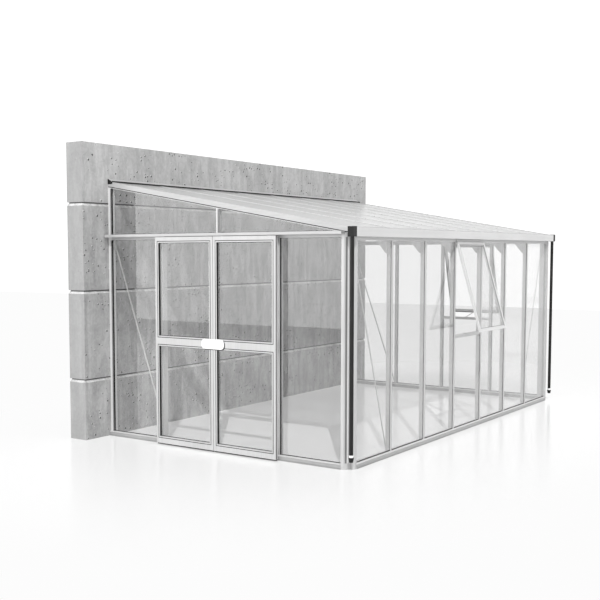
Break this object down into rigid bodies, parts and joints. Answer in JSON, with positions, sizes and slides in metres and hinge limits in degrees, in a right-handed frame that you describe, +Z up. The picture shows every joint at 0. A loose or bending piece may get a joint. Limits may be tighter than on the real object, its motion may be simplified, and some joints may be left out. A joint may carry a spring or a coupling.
{
  "type": "lean-to greenhouse",
  "caption": "Aluminium lean-to greenhouse on a concrete wall, with sliding double gable doors, open top-hung vents, gutter and downpipes.",
  "frame": {"origin": "on the ground, under the centre of the whole object's box", "axes": "+X along the wall, away from the door gable; +Y towards the wall; +Z up"},
  "size_m": [6.035, 3.5742, 3.172],
  "materials": {
    "aluminium": "satin anodised",
    "concrete": "fair-faced cast concrete",
    "glass": "clear",
    "opal_sheet": "opal multiwall sheet",
    "dark_plastic": "satin",
    "white_plastic": "gloss"
  },
  "bodies": {
    "house": {"braces": "aluminium", "corner_post_left": "aluminium", "corner_post_right": "aluminium", "door_posts": "aluminium", "door_track": "aluminium", "downpipe_collars": "white_plastic", "downpipe_shoes": "dark_plastic", "downpipes": "dark_plastic", "eave_beam": "aluminium", "front_bars": "aluminium", "front_glass": "glass", "gussets": "aluminium", "gutter": "aluminium", "gutter_outlets": "dark_plastic", "left_gable_beam": "aluminium", "left_gable_glass": "glass", "left_gable_mullion": "aluminium", "rafters": "aluminium", "ridge_profile": "aluminium", "ridge_seal": "dark_plastic", "right_gable_bars": "aluminium", "right_gable_beam": "aluminium", "right_gable_glass": "glass", "roof_bars": "aluminium", "roof_panes": "opal_sheet", "sill_front": "aluminium", "sill_left": "aluminium", "sill_right": "aluminium", "vent_glass": "glass", "vent_sash_front": "aluminium", "vent_sash_right": "aluminium", "vent_stays": "aluminium", "vent_transoms": "aluminium", "wall_course_1": "concrete", "wall_course_2": "concrete", "wall_course_3": "concrete", "wall_course_4": "concrete", "wall_post_left": "aluminium", "wall_post_right": "aluminium"},
    "door_left": {"door_leaf_left": "aluminium", "door_glass_left": "glass", "door_handle_left": "white_plastic"},
    "door_right": {"door_leaf_right": "aluminium", "door_glass_right": "glass", "door_handle_right": "white_plastic"}
  },
  "joints": [
    {"name": "door_left_slide", "type": "slide", "parent": "house", "child": "door_left", "axis": [0, 1, 0], "range_m": [0, 0.71]},
    {"name": "door_right_slide", "type": "slide", "parent": "house", "child": "door_right", "axis": [0, -1, 0], "range_m": [0, 0.71]}
  ]
}
